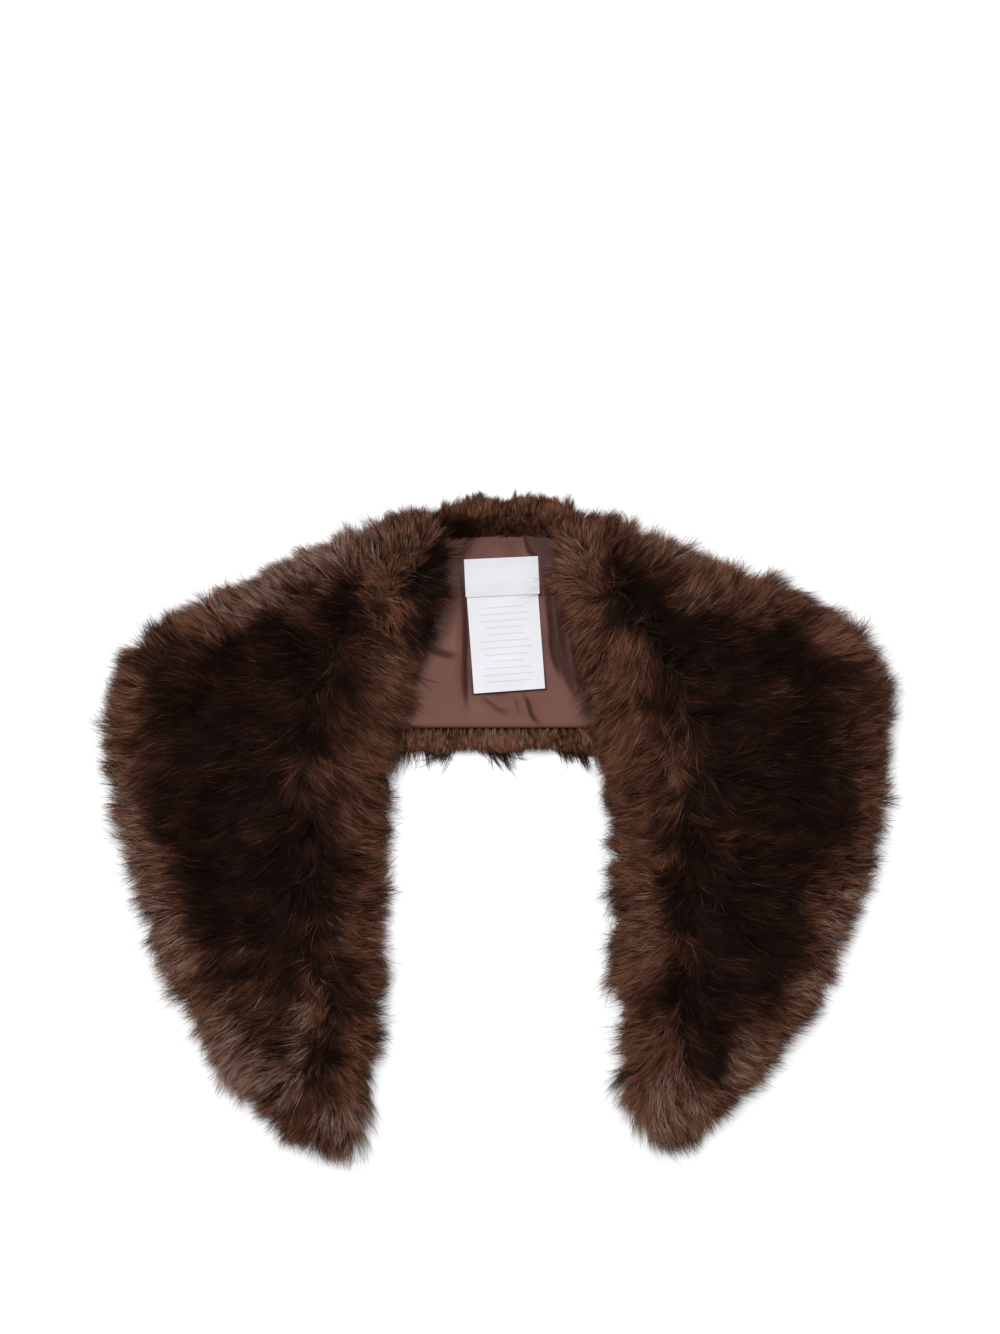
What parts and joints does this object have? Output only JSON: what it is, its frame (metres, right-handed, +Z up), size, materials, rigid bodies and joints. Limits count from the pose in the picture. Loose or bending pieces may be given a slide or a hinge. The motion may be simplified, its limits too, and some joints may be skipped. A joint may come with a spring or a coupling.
{
  "type": "fur collar wrap",
  "caption": "Long-pile fur shoulder wrap, satin-lined, laid flat with both rounded fronts folded forward over the lined back.",
  "frame": {"origin": "centre of the wrap's footprint, on the table that it lies on", "axes": "+X across the wrap to the right as seen from above with the neck away, +Y towards the neck, +Z up from the table"},
  "size_m": [0.5726, 0.482, 0.0472],
  "materials": {
    "fur": "long soft pile, dark brown, with lighter tips",
    "lining": "brown satin, soft sheen",
    "label": "white satin ribbon"
  },
  "bodies": {
    "root": {"fur_back": "fur", "fur_front_left": "fur", "fur_front_right": "fur", "lining_back": "lining", "care_label": "label", "main_label": "label"}
  },
  "joints": []
}
